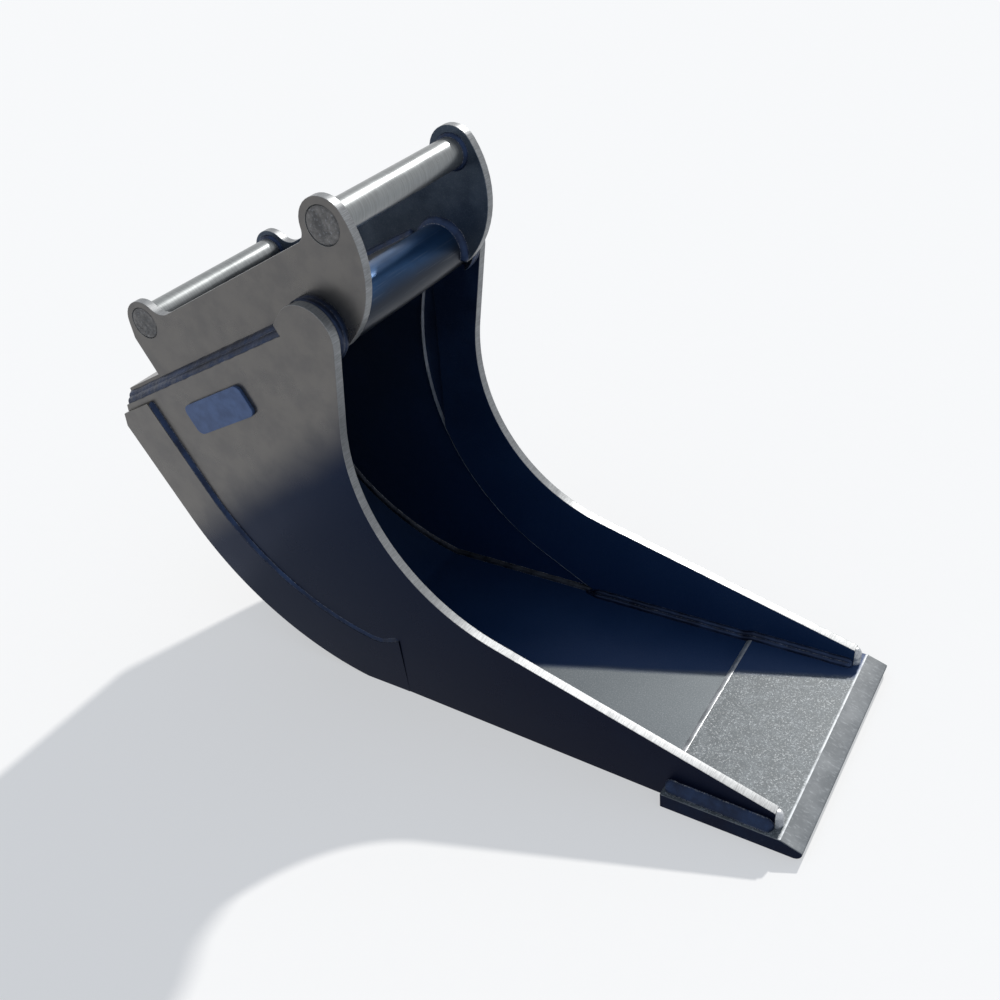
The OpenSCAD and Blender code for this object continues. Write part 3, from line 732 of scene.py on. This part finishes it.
def bead_mesh(name, paths, closed=False, **form):
    """One mesh with a bead along each path of stations. The form goes to bead_rows."""
    shape = bmesh.new()
    layer = shape.loops.layers.uv.new(BEAD_UV)

    def add_face(corners, smooth):
        face = shape.faces.new([point for point, _ in corners])
        face.smooth = smooth
        for loop, (_, uv) in zip(face.loops, corners):
            loop[layer].uv = uv

    for number, stations in enumerate(paths):
        rows = bead_rows(stations, closed, SEED_STEP * number, **form)
        rings = [[(shape.verts.new(point), uv) for point, uv in row] for row in rows]
        if not closed:
            add_face(rings[0][::-1], False)
            add_face(rings[-1], False)
        for one, two in zip(rings, rings[1:] + (rings[:1] if closed else [])):
            for k in range(len(one)):
                m = (k + 1) % len(one)
                add_face([one[k], one[m], two[m], two[k]], True)
    return finished(shape, name)


def lay(name, paths, look="weld_bead", **form):
    """Lays beads as one piece, in place of the CAD weld of the same name."""
    mesh = bead_mesh(name, paths, **form)
    piece(name, mesh, [look], name.replace("bead", "weld"))


def fillet(path, off, leg, y_leg, up, side, fade=None):
    """Stations of a corner bead along a ground path on a side plane.

    Each is the root, the toe on the plane and the toe across. The second leg comes from fade, if
    given, by the point's number on the path.
    """
    stations = []
    for i, p in enumerate(path):
        along = (path[min(i + 1, len(path) - 1)] - path[max(i - 1, 0)]).normalized()
        q = p + up * leg * vec(-along.y, along.x)
        across = y_leg if fade is None else fade(i)
        y = side_y(p, off)
        stations.append((place(p, side * y), place(q, side * side_y(q, off)),
                         place(p, side * (y + across))))
    return stations


def spokes(centre, r, far_r, start, end):
    """Pairs of ground points, at even angles on two circles round a hitch point."""
    near, far = (arc(centre, each, start, end, RING_STEPS) for each in (r, far_r))
    return [(ground(a), ground(b)) for a, b in zip(near, far)]


def ring(centre, r, start, end, leg, side):
    """Stations of a ring bead on an ear's inner face: root, toe on the ear, toe on the bar."""
    y = EAR_GAP / 2
    return [(place(near, side * y), place(far, side * y), place(near, side * (y - leg)))
            for near, far in spokes(centre, r, r + leg, start, end)]


def crosswise(half, *section):
    """Stations of a straight bead across the bucket, through the ground points of its section."""
    return [[place(p, y) for p in section] for y in (-half, 0, half)]


def plug_height(share, angle, seed):
    """How far a plug weld's face stands out, in millimetres, at a share of its radius."""
    lumps = PLUG_LUMPS * noise.noise(Vector((*(4 * share * aim(angle)), seed)))
    waves = PLUG_WAVES * math.sin(7 * share + angle)
    groove = max(0.0, 1 - abs(share - GROOVE_AT) / GROOVE_HALF)
    groove *= GROOVE_DEPTH * max(0.0, math.cos(angle + GROOVE_TURN)) ** 0.5
    rim = RIM_DEPTH * max(0.0, (share - RIM_FROM) / (1 - RIM_FROM)) ** 2
    return lumps + waves - groove - rim


def plug_mesh(name, x, d):
    """Two plug welds: ripples wound inwards with a crescent groove and a sunken rim."""
    shape = bmesh.new()
    turns, rings = 80, 16
    for side in SIDES.values():
        seed = PLUG_SEED + d + side

        def at(share, angle, out):
            p = ground(vec(x, 0) + d / 2 * share * aim(angle))
            return shape.verts.new(place(p, side * (EAR_OUT + out)))

        angles = [2 * math.pi * i / turns for i in range(turns)]
        centre = at(0, 0, 0)
        rows = [[at(k / rings, angle, plug_height(k / rings, angle, seed)) for angle in angles]
                for k in range(1, rings + 1)]
        rows.append([at(1, angle, -PLUG_DEPTH) for angle in angles])
        for i in range(turns):
            j = (i + 1) % turns
            shape.faces.new((centre, rows[0][i], rows[0][j]))
            for low, high in zip(rows, rows[1:]):
                shape.faces.new((low[i], high[i], high[j], low[j]))
        shape.faces.new(rows[-1])
    for face in shape.faces:
        face.smooth = True
    return finished(shape, name)


def end_mesh(name):
    """The lumps of weld metal on the front ends of the side plates, narrower near their tops."""
    shape = bmesh.new()
    turns, rows_up = 18, 14
    for side in SIDES.values():
        rows = []
        for k in range(rows_up + 1):
            up = k / rows_up
            full = math.sqrt(max(0.0, 1 - max(0.0, (up - END_FULL) / END_FADE) ** 2))
            radius = FRONT_WELD_R * (END_THIN + END_SWELL * full)
            row = []
            for i in range(turns + 1):
                spoke = aim(math.pi * (i / turns - 0.5))
                r = radius * (1 + END_LUMPS * noise.noise(Vector((*spoke, 5 * up + 9 * side))))
                p = vec(FRONT_END + r * spoke.x, EDGE_T + FRONT_END_H * up)
                y = side * side_y(p, SIDE_OUT / 2) + r * spoke.y
                row.append(shape.verts.new(place(p, y)))
            rows.append(row)
        for low, high in zip(rows, rows[1:]):
            for i in range(turns):
                shape.faces.new((low[i], low[i + 1], high[i + 1], high[i]))
            shape.faces.new((low[-1], low[0], high[0], high[-1]))
        shape.faces.new(rows[0])
        shape.faces.new(rows[-1])
    for face in shape.faces:
        face.smooth = True
    return finished(shape, name)


def across_face(normal):
    """Whether a face looks along the bucket's width."""
    return abs(normal.y) > SIDEWAYS


def past_side(point, off):
    """How far a point of the model, in metres, is outside a side plane, in millimetres."""
    return abs(point.y) / MM - side_y((point.x / MM + ORIGIN_X, point.z / MM), off)


def on_joint(a, b):
    """Whether an edge from a to b lies where a side cutter meets its side plate."""
    return all(abs(past_side(p, CUTTER_T)) < ON_PLANE for p in (a, b))


def on_plate_top(a, b):
    """Whether an edge from a to b lies on the top plate's upper face."""
    return all(abs(hitch_height(p) - PLATE_TOP) < ON_PLANE for p in (a, b))


def feather(point):
    """Thins a heel strip's tail until it runs flush into the side plate."""
    over = past_side(point, SIDE_OUT)
    if over > STRIP_TAIL_T / 2:
        thin = STRIP_T * (over - STRIP_TAIL_T) / (STRIP_T - STRIP_TAIL_T)
        point.y += math.copysign((max(thin, TAIL_FLUSH) - over) * MM, point.y)


def inside_or_out(inner):
    """A choice between the outer scale, an inner finish and cut edges, by where a face looks."""
    def choose(normal, centre):
        if not across_face(normal):
            return "cut_edge"
        return "outer_scale" if normal.y * centre.y > 0 else inner
    return choose


class BUCKET_OT_plates(bpy.types.Operator):
    """Dress the side plates, side cutters, heel strips, shell and top plate"""
    bl_idname = "bucket.plates"
    bl_label = "Plates"

    def execute(self, context):
        def shell_face(normal, centre):
            if across_face(normal):
                return "cut_edge"
            return "bowl_scale" if max(normal.x, normal.z) > RISING else "outer_scale"

        side_face = inside_or_out("bowl_scale")
        for side in ("_left", "_right"):
            dress("side_plate", side_face, on_joint, side=side)
            dress("side_cutter", side_face, on_joint, side=side)
            dress("heel_strip", plain("outer_scale"), lambda a, b: True, feather,
                  side)
        dress("shell_plate", shell_face)
        dress("top_plate", plain("outer_scale"), on_plate_top)
        dress("blank_tag", plain("tag_blue"))
        return {"FINISHED"}


class BUCKET_OT_hitch(bpy.types.Operator):
    """Dress the ears, the torque tube and the two pins"""
    bl_idname = "bucket.hitch"
    bl_label = "Hitch"

    def execute(self, context):
        for side in ("_left", "_right"):
            dress("ear", inside_or_out("hitch_scale"), on_plate_top, side=side)
        dress("torque_tube", plain("tube_blue"))
        for pin in ("front_pin", "rear_pin"):
            dress(pin, plain("turned_pin"))
        return {"FINISHED"}


class BUCKET_OT_cutting_edge(bpy.types.Operator):
    """Dress the cutting edge: its worn top, ground bevel and sides"""
    bl_idname = "bucket.cutting_edge"
    bl_label = "Cutting edge"

    def execute(self, context):
        def edge_face(normal, centre):
            if normal.z > LEVEL:
                return "worn_top"
            return "bevel_steel" if normal.z > RISING or normal.x > FORWARD else "edge_side"

        dress("cutting_edge", edge_face)
        return {"FINISHED"}


class BUCKET_OT_bowl_welds(bpy.types.Operator):
    """Lay the beads inside the bowl and along the cutting edge"""
    bl_idname = "bucket.bowl_welds"
    bl_label = "Bowl welds"

    def execute(self, context):
        foot, seam = seam_curve()
        slope = (seam[0] - foot) / (seam[0].y - foot.y)
        back = [vec((foot + THIN_LEG * slope).x, FLOOR_T), *heel_inside(), fold_inside()]
        ledge = [vec(EDGE_BACK, EDGE_T), vec(FRONT_END, EDGE_T)]
        floor = [foot, vec(EDGE_BACK - FLOOR_WELD_RUN, FLOOR_T), *ledge]
        rear_edge = [foot + (THIN_LEG + SEAM_LEG) * slope, *seam]
        for name, side in SIDES.items():
            lay(f"back_corner_bead_{name}",
                [fillet(back, CUTTER_T, THIN_LEG, -THIN_LEG, -1, side)], "grey_bead")
            lead = fillet([foot - vec(FAT_LEAD, 0)], CUTTER_T, FAT_LEG, -FAT_LEG, 1, side)
            lay(f"floor_corner_bead_{name}",
                [lead + fillet(floor, 0, FAT_LEG, -FAT_LEG, 1, side)], runs=2, taper=0.008)
            lay(f"cutter_seam_bead_{name}",
                [fillet(rear_edge, CUTTER_T, SEAM_LEG, -CUTTER_T, 1, side)], "seam_bead")
            lay(f"edge_side_bead_{name}",
                [fillet(ledge, SIDE_OUT, EDGE_LEG, EDGE_LEG, 1, side)], taper=0.012)

        root = vec(EDGE_BACK, FLOOR_T)
        over = vec(FLOOR_WELD_OVER, FLOOR_WELD_OVER)
        crest = vec(EDGE_BACK + FLOOR_WELD_OVER, EDGE_T + FLOOR_WELD_RISE)
        section = crosswise(side_y(root, 0) - FAT_LEG, root - over, crest,
                            root - vec(FLOOR_WELD_RUN / 2, 0))
        lay("floor_edge_bead", [section], "bright_bead")
        piece("front_end_beads", end_mesh("front_end_beads"), ["bright_bead"],
              "front_end_welds")
        return {"FINISHED"}


class BUCKET_OT_outer_welds(bpy.types.Operator):
    """Lay the beads along the heel strips and round the top plate"""
    bl_idname = "bucket.outer_welds"
    bl_label = "Outer welds"

    def execute(self, context):
        edge = strip_curve()
        path = [ground(p) for p in edge]
        thin_run = (edge[0] - edge[-1]).length

        def strip_height(i):
            away = min(1.0, (edge[i] - edge[-1]).length / thin_run)
            return min(STRIP_TAIL_T + (STRIP_T - STRIP_TAIL_T) * away, STRIP_LEG)

        for name, side in SIDES.items():
            lay(f"strip_bead_{name}",
                [fillet(path, SIDE_OUT, STRIP_LEG, 0, 1, side, strip_height)], taper=0.006)
            band = []
            for x in (-PLATE_BACK, -NOSE_STEP_BACK):
                low, high = ground((x, PLATE_UNDER)), ground((x, PLATE_TOP - BAND_REVEAL))
                band.append((place(low, side * EAR_OUT), place(high, side * EAR_OUT),
                             place(low, side * side_y(low, SIDE_OUT))))
            lay(f"top_bead_{name}", [band], runs=2, crown=0.10)

        fold = vec(LIP_X, PLATE_UNDER)
        high = fold + (1 - BAND_REVEAL / PLATE_T) * (vec(-PLATE_BACK, PLATE_TOP) - fold)
        strip_top = max(0, FOLD_DROP - STRIP_DROP) / (FOLD_DROP + PLATE_UNDER)
        low = vec(BACK_X + LIP_RUN * strip_top, -STRIP_DROP)
        band = crosswise(EAR_OUT, ground(fold), ground(high), ground(low))
        lay("rear_top_bead", [band], runs=2, crown=0.12)
        return {"FINISHED"}


class BUCKET_OT_hitch_welds(bpy.types.Operator):
    """Lay the ring beads, the ears' foot beads and the bead along the torque tube"""
    bl_idname = "bucket.hitch_welds"
    bl_label = "Hitch welds"

    def execute(self, context):
        inner = EAR_GAP / 2
        for name, x in (("front_pin", 0), ("rear_pin", -PIN_SPACING)):
            rings = [ring(vec(x, 0), PIN_R, 0, 2 * math.pi, PIN_RING_LEG, side)[:-1]
                     for side in SIDES.values()]
            lay(f"{name}_ring_beads", rings, closed=True)
        rings = [ring(TUBE_C, TUBE_R, HOOK_TURN, PLATE_TURN, RING_LEG, side)
                 for side in SIDES.values()]
        lay("tube_inner_ring_beads", rings, taper=0.006)

        noses, feet = [], []
        for side in SIDES.values():
            noses.append([(place(near, side * (EAR_OUT + side_y(near, 0)) / 2),
                           place(far, side * EAR_OUT), place(far, side * side_y(far, 0)))
                          for near, far in spokes(TUBE_C, TUBE_R, NOSE_R, NOSE_TURN, PLATE_TURN)])
            foot = []
            for x in (-PIN_SPACING - EAR_HEEL, PLATE_FRONT):
                p, q = ground((x, PLATE_TOP)), ground((x, PLATE_TOP + FOOT_LEG))
                foot.append((place(p, side * inner), place(q, side * inner),
                             place(p, side * (inner - FOOT_LEG))))
            feet.append(foot)
        lay("tube_nose_beads", noses, runs=2, crown=0.06)
        lay("ear_foot_beads", feet, taper=0.005)

        tube_top = -TUBE_BACK - math.sqrt(TUBE_R ** 2 - (PLATE_TOP + TUBE_DROP) ** 2)
        seat = [ground(p) for p in ((PLATE_FRONT, PLATE_UNDER + PLATE_T / 4),
                                    (PLATE_FRONT - SEAT_OVER, PLATE_TOP), (tube_top, PLATE_TOP))]
        lay("tube_seat_bead", [crosswise(inner, *seat)], runs=3, crown=0.05)

        for name, x, d in (("front_pin", 0, FRONT_PLUG_D), ("rear_pin", -PIN_SPACING, REAR_PLUG_D)):
            mesh = plug_mesh(f"{name}_plug_faces", x, d)
            piece(f"{name}_plug_faces", mesh, ["plug_face"], f"{name}_plug_welds")
        return {"FINISHED"}


def heading(azimuth, elevation):
    """The direction at an azimuth from forward and an elevation above the floor."""
    return Vector((*(math.cos(elevation) * aim(azimuth)), math.sin(elevation)))


class BUCKET_OT_stage(bpy.types.Operator):
    """Set up the floor, the light and the camera"""
    bl_idname = "bucket.stage"
    bl_label = "Stage"

    def execute(self, context):
        stage = context.scene.bucket_stage
        self.floor(stage)
        self.sun(stage)
        context.scene.world = self.sky(stage)
        context.scene.camera = self.camera(stage)
        context.scene.view_settings.view_transform = "Standard"
        return {"FINISHED"}

    def floor(self, stage):
        mesh = bpy.data.meshes.new("floor")
        half = stage.floor_width / 2
        spots = ((-half, -half), (half, -half), (half, half), (-half, half))
        mesh.from_pydata([(*spot, FLOOR_Z) for spot in spots], [], [range(4)])
        obj = add_object("floor", mesh)
        f = Finish("pale_floor")
        darker = [c * FLOOR_PATCHES for c in stage.floor_colour]
        f.done(f.mix(f.noise(40.0, 3.0), stage.floor_colour, darker), 0.9, specular=0.0)
        glow = f.times(self.seen(f.tree), stage.floor_glow)
        white = f.node("ShaderNodeEmission", {}).outputs[0]
        mix = f.node("ShaderNodeMixShader", {0: glow, 1: f.shader.outputs[0], 2: white})
        f.tree.links.new(mix.outputs[0], f.tree.nodes["Material Output"].inputs["Surface"])
        mesh.materials.append(f.material)
        obj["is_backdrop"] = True

    def seen(self, tree):
        """1 for what the camera sees, in mirror images and through glass too."""
        path = tree.nodes.new("ShaderNodeLightPath").outputs
        found = path["Is Camera Ray"]
        for ray in ("Is Glossy Ray", "Is Transmission Ray"):
            inputs = {0: found, 1: path[ray]}
            found = add_node(tree, "ShaderNodeMath", inputs, operation="MAXIMUM").outputs[0]
        return found

    def sun(self, stage):
        light = bpy.data.lights.new("sun", "SUN")
        light.energy = stage.sun_strength
        light.angle = stage.sun_spread
        light.color = stage.sun_colour
        towards = heading(stage.sun_azimuth, stage.sun_elevation)
        add_object("sun", light).rotation_euler = towards.to_track_quat("Z", "Y").to_euler()

    def sky(self, stage):
        world = bpy.data.worlds.new("sky")
        world.use_nodes = True
        tree = world.node_tree
        tint = tree.nodes["Background"]
        tint.inputs["Color"].default_value = (*stage.sky_colour, 1)
        tint.inputs["Strength"].default_value = stage.sky_strength
        white = add_node(tree, "ShaderNodeBackground", {"Color": (1, 1, 1, 1), "Strength": 1})
        inputs = {0: self.seen(tree), 1: tint.outputs[0], 2: white.outputs[0]}
        mix = add_node(tree, "ShaderNodeMixShader", inputs)
        tree.links.new(mix.outputs[0], tree.nodes["World Output"].inputs["Surface"])
        return world

    def camera(self, stage):
        data = bpy.data.cameras.new("camera")
        data.sensor_width = 36
        data.lens = stage.lens
        obj = add_object("camera", data)
        forward = heading(stage.camera_azimuth, stage.camera_elevation)
        level = forward.cross(Vector((0, 0, 1))).normalized()
        roll = aim(stage.camera_roll)
        right = roll.x * level + roll.y * level.cross(forward)
        turn = Matrix((right, right.cross(forward), -forward)).transposed()
        obj.matrix_world = Matrix.Translation(Vector(stage.camera_place)) @ turn.to_4x4()
        return obj


def number_prop(name, description, default, **more):
    return FloatProperty(name=name, description=description, default=default, precision=5, **more)


def length_prop(name, description, default):
    return number_prop(name, description, default, unit="LENGTH")


def angle_prop(name, description, degrees):
    return number_prop(name, description, math.radians(degrees), subtype="ANGLE")


def colour_prop(name, description, default):
    return FloatVectorProperty(name=name, description=description, default=default,
                               subtype="COLOR", size=3, min=0, max=1)


class BucketSizes(bpy.types.PropertyGroup):
    edge_round: length_prop("Edge rounding", "Radius of the plates' broken edges", 0.0009)
    bead_step: length_prop("Bead step", "Distance between two sections of a bead", 0.0025)
    ripple_pitch: length_prop("Ripple pitch", "Distance between two ripples of a bead", 0.0105)
    ripple_height: length_prop("Ripple height", "Height of a bead's ripples", 0.00013)
    bead_wander: number_prop("Bead wander", "How much a bead's toes wander", 0.06)
    bead_points: IntProperty(name="Bead points", description="Points across a bead", default=10)


COLOURS = (
    # Partly painted reflection: outer high is the mirrored sunlit floor, outer middle and low the
    # mirrored shadow of the bucket.
    ("Outer high", "Outer faces at the hitch", (0.148, 0.142, 0.136)),
    ("Outer middle", "Outer faces just below the slanting line", (0.001, 0.008, 0.03)),
    ("Outer low", "Outer faces at the heel and the floor", (0.0, 0.003, 0.018)),
    # Bowl dark and bowl blue are painted shade and painted sky reflection; floor grey is painted
    # sunlight.
    ("Bowl dark", "High up inside the bowl", (0.002, 0.009, 0.032)),
    ("Bowl blue", "Low down inside the bowl", (0.009, 0.032, 0.096)),
    ("Bowl grey", "The back of the shell", (0.04, 0.058, 0.088)),
    ("Floor grey", "The rubbed part of the floor", (0.105, 0.12, 0.128)),
    ("Hitch dark", "Dark patches of the ears' inner faces", (0.038, 0.054, 0.08)),
    ("Hitch light", "Light patches of the ears' inner faces", (0.075, 0.098, 0.132)),
    # Pale steel is real specks; in the bowl they gather in the painted sunlight.
    ("Pale steel", "Specks and rubbed places", (0.33, 0.35, 0.38)),
    ("Cut dark", "Lines in a flame-cut edge", (0.155, 0.16, 0.166)),
    ("Cut bright", "Flame-cut edges", (0.25, 0.26, 0.268)),
    # The tube's colours are a painted reflection of the ground below and the sky above.
    ("Tube low", "The tube's underside", (0.015, 0.021, 0.033)),
    ("Tube high", "The tube's upper side", (0.02, 0.066, 0.16)),
    ("Tag dark", "Dark patches of the blank tag", (0.035, 0.065, 0.15)),
    ("Tag light", "Light patches of the blank tag", (0.065, 0.11, 0.23)),
    ("Weld dark", "Dark stretches of a bead", (0.008, 0.014, 0.034)),
    ("Weld blue", "Heat-tinted stretches of a bead", (0.018, 0.036, 0.088)),
    ("Grey bead dark", "Dark stretches of the beads in the bowl", (0.01, 0.014, 0.024)),
    ("Grey bead light", "Light stretches of the beads in the bowl", (0.04, 0.048, 0.064)),
    ("Silver dark", "Dark stretches of the bright beads", (0.3, 0.31, 0.32)),
    ("Silver", "Bright beads on the floor and the front ends", (0.6, 0.61, 0.62)),
    ("Seam dark", "Dark stretches of the seam beads", (0.2, 0.22, 0.25)),
    ("Seam light", "Light stretches of the seam beads", (0.48, 0.5, 0.54)),
    ("Plug dark", "Hollows of the plug welds", (0.06, 0.06, 0.062)),
    ("Plug light", "Faces of the plug welds", (0.145, 0.14, 0.136)),
    ("Pin low", "Turning marks on the pins", (0.185, 0.195, 0.2)),
    ("Pin high", "Turned faces of the pins", (0.235, 0.25, 0.256)),
    ("Edge dark", "Pits in the cutting edge", (0.078, 0.09, 0.096)),
    ("Edge light", "The cutting edge's top", (0.126, 0.141, 0.148)),
    ("Edge speck", "Specks and scratches on the cutting edge", (0.44, 0.46, 0.47)),
    ("Edge crest", "Bright line above the bevel", (0.62, 0.64, 0.65)),
    ("Bevel dark", "Dark patches of the bevel", (0.11, 0.12, 0.128)),
    ("Bevel light", "Light patches of the bevel", (0.17, 0.182, 0.19)),
)


class BucketColours(bpy.types.PropertyGroup):
    __annotations__ = {name.lower().replace(" ", "_"): colour_prop(name, description, default)
                       for name, description, default in COLOURS}


class BucketStage(bpy.types.PropertyGroup):
    floor_width: length_prop("Floor width", "Side of the square floor", 90.0)
    floor_colour: colour_prop("Floor colour", "Colour of the pale floor", (0.80, 0.79, 0.77))
    floor_glow: number_prop("Floor glow", "Share of plain white in the floor that is seen", 0.5)
    sun_strength: number_prop("Sun strength", "Strength of the key light", 4.2)
    sun_colour: colour_prop("Sun colour", "Colour of the key light", (1.0, 0.975, 0.94))
    sun_spread: angle_prop("Sun spread", "Angular size of the key light", 2.0)
    sun_azimuth: angle_prop("Sun azimuth", "Direction of the key light, from forward", 91.0)
    sun_elevation: angle_prop("Sun elevation", "Height of the key light", 37.0)
    sky_strength: number_prop("Sky strength", "Strength of the fill light", 0.45)
    sky_colour: colour_prop("Sky colour", "Colour of the fill light", (0.64, 0.78, 1.0))
    lens: number_prop("Lens", "Focal length in millimetres", 39.962, subtype="DISTANCE_CAMERA")
    camera_place: FloatVectorProperty(name="Camera place", description="Where the camera stands",
                                      size=3, default=(0.798891, -1.123657, 1.233296),
                                      subtype="TRANSLATION", precision=5)
    camera_azimuth: angle_prop("Camera azimuth", "Direction in which the camera looks", 124.83956)
    camera_elevation: angle_prop("Camera elevation", "Tilt of the camera", -34.461785)
    camera_roll: angle_prop("Camera roll", "Roll of the camera", -6.356578)


STEPS = (BUCKET_OT_stage, BUCKET_OT_plates, BUCKET_OT_hitch, BUCKET_OT_cutting_edge,
         BUCKET_OT_bowl_welds, BUCKET_OT_outer_welds, BUCKET_OT_hitch_welds)
GROUPS = {"bucket_sizes": BucketSizes, "bucket_colours": BucketColours, "bucket_stage": BucketStage}


class BUCKET_PT_panel(bpy.types.Panel):
    """Lists the steps that build the bucket's looks, and their values"""
    bl_idname = "BUCKET_PT_panel"
    bl_label = "Cable trenching bucket"
    bl_space_type = "VIEW_3D"
    bl_region_type = "UI"
    bl_category = "Bucket"

    def draw(self, context):
        for step in STEPS:
            self.layout.operator(step.bl_idname)
        for group in GROUPS:
            values = getattr(context.scene, group)
            box = self.layout.box()
            for name in values.__annotations__:
                box.prop(values, name)


CLASSES = (*GROUPS.values(), *STEPS, BUCKET_PT_panel)


def register():
    for each in CLASSES:
        bpy.utils.register_class(each)
    for name, group in GROUPS.items():
        setattr(bpy.types.Scene, name, PointerProperty(type=group))


def unregister():
    for name in GROUPS:
        delattr(bpy.types.Scene, name)
    for each in reversed(CLASSES):
        bpy.utils.unregister_class(each)


def corners(box):
    return [list(corner) for corner in box]


def main():
    register()
    for step in STEPS:
        area, name = step.bl_idname.split(".")
        getattr(getattr(bpy.ops, area), name)()
    {"cad": corners(CAD_BOX), "visual": corners(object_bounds())}


if __name__ == "__main__":
    main()
